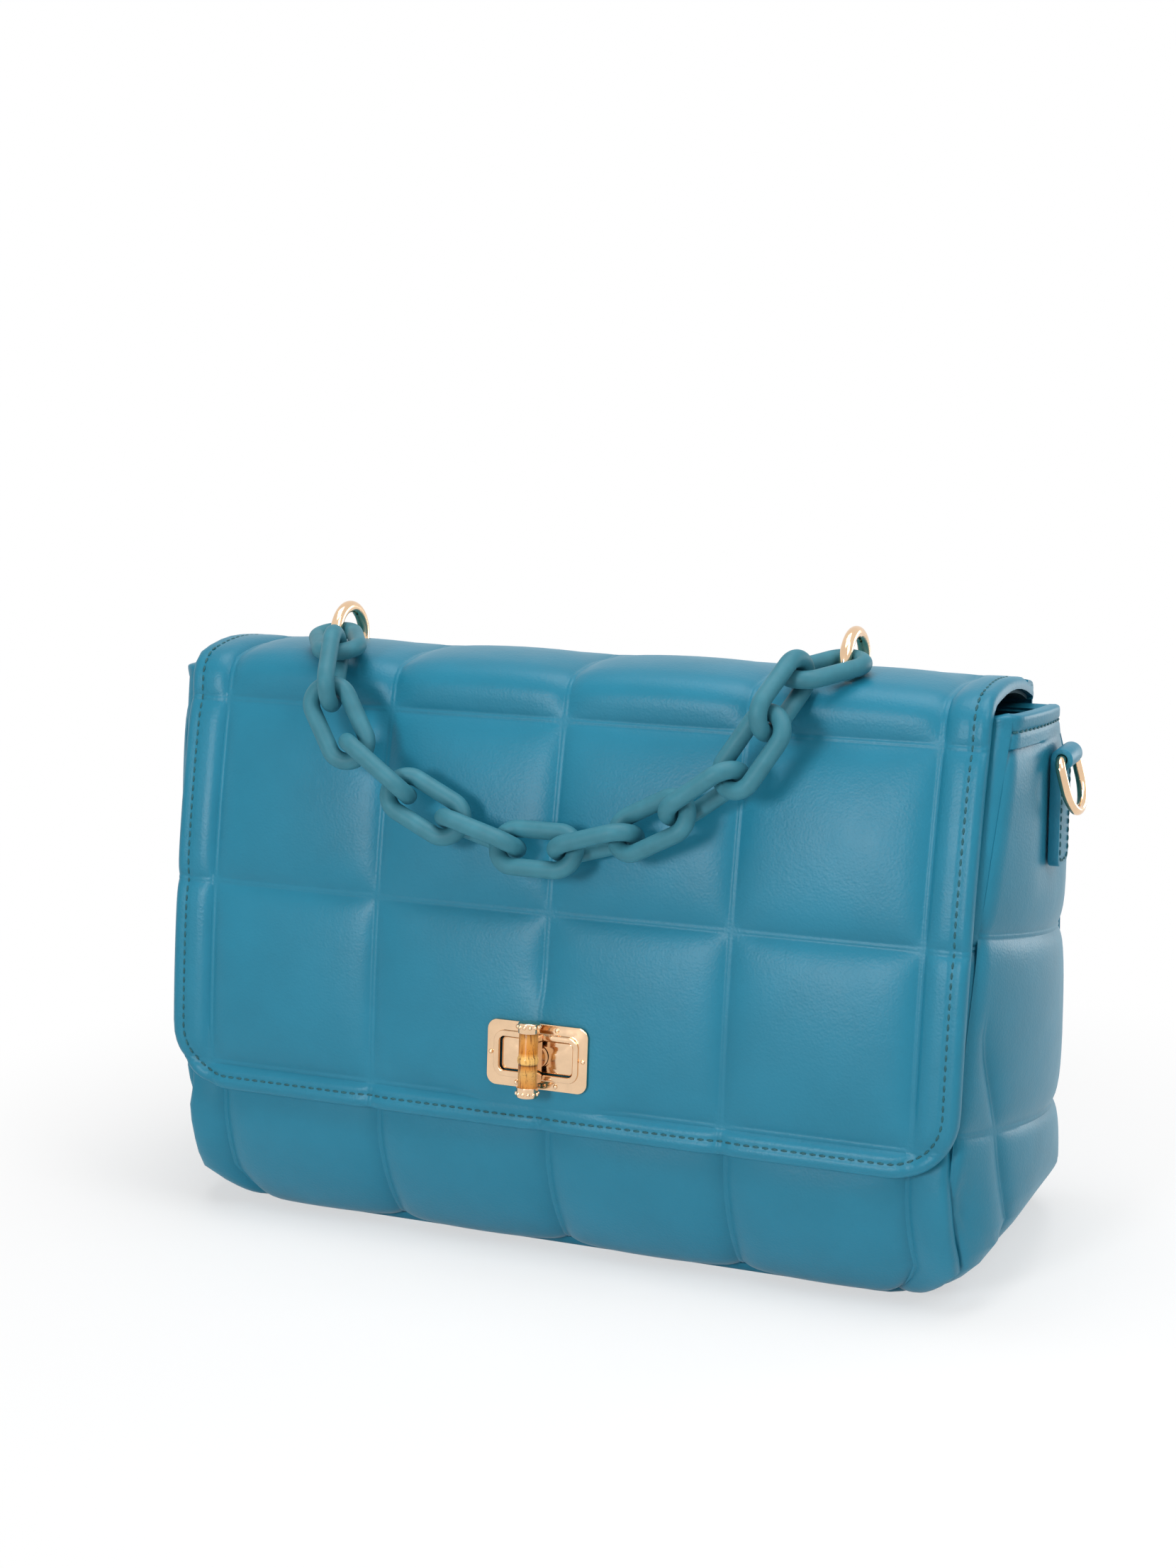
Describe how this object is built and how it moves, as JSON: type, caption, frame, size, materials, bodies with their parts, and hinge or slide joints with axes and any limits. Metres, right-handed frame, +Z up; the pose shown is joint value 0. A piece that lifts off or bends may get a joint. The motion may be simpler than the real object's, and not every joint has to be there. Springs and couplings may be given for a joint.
{
  "type": "chain shoulder bag",
  "caption": "Soft quilted teal leather flap bag with a turn lock on a bamboo toggle, a heavy link chain handle on rings, and a ring tab on each side",
  "frame": {"origin": "middle of the base's underside, on the surface that the bag stands on", "axes": "+X to the right as the flap is faced, -Y out of the front where the flap and lock are, +Z up"},
  "size_m": [0.3684, 0.1624, 0.2434],
  "materials": {
    "teal_leather": "smooth satin, fine grain, quilted",
    "lining_fabric": "woven lining, matte",
    "base_board": "pressed fibre board",
    "pale_gold_metal": "polished pale rose gold plate",
    "chain_plastic": "satin, lightly marbled",
    "bamboo": "oiled bamboo with light node marks"
  },
  "bodies": {
    "bag": {"front_panel": "teal_leather", "back_panel": "teal_leather", "base_panel": "teal_leather", "left_gusset": "teal_leather", "right_gusset": "teal_leather", "base_board": "base_board", "lining": "lining_fabric", "rim_facing": "teal_leather", "lock_base": "pale_gold_metal", "lock_backing_plate": "pale_gold_metal", "left_dring_tab": "teal_leather", "right_dring_tab": "teal_leather"},
    "flap": {"flap_outer": "teal_leather", "flap_lining": "lining_fabric", "left_ring_anchor": "teal_leather", "right_ring_anchor": "teal_leather", "lock_frame": "pale_gold_metal", "lock_frame_back": "pale_gold_metal"},
    "handle": {"left_ring": "pale_gold_metal", "right_ring": "pale_gold_metal", "chain_link_01": "chain_plastic", "chain_link_02": "chain_plastic", "chain_link_03": "chain_plastic", "chain_link_04": "chain_plastic", "chain_link_05": "chain_plastic", "chain_link_06": "chain_plastic", "chain_link_07": "chain_plastic", "chain_link_08": "chain_plastic", "chain_link_09": "chain_plastic", "chain_link_10": "chain_plastic", "chain_link_11": "chain_plastic", "chain_link_12": "chain_plastic", "chain_link_13": "chain_plastic"},
    "toggle": {"toggle_bar": "bamboo", "toggle_saddle": "pale_gold_metal", "toggle_top_cap": "pale_gold_metal", "toggle_bottom_cap": "pale_gold_metal", "toggle_spindle": "pale_gold_metal", "spindle_clip": "pale_gold_metal"},
    "left_side_ring": {"left_dring": "pale_gold_metal"},
    "right_side_ring": {"right_dring": "pale_gold_metal"}
  },
  "joints": [
    {"name": "flap_hinge", "type": "hinge", "parent": "bag", "child": "flap", "pos_m": [0, 0.0065, 0.218], "axis": [-1, 0, 0], "range_deg": [0, 150]},
    {"name": "handle_swing", "type": "hinge", "parent": "flap", "child": "handle", "pos_m": [0, -0.025, 0.22987], "axis": [-1, 0, 0], "range_deg": [0, 120]},
    {"name": "toggle_turn", "type": "hinge", "parent": "bag", "child": "toggle", "pos_m": [0, -0.08159, 0.08618], "axis": [0, -0.9924, 0.1231], "range_deg": [0, 90]},
    {"name": "right_ring_swing", "type": "hinge", "parent": "bag", "child": "right_side_ring", "pos_m": [0.1772, -0.005, 0.197], "axis": [0, -1, 0], "range_deg": [-8, 150]},
    {"name": "left_ring_swing", "type": "hinge", "parent": "bag", "child": "left_side_ring", "pos_m": [-0.1772, -0.005, 0.197], "axis": [0, 1, 0], "range_deg": [-8, 150]}
  ]
}
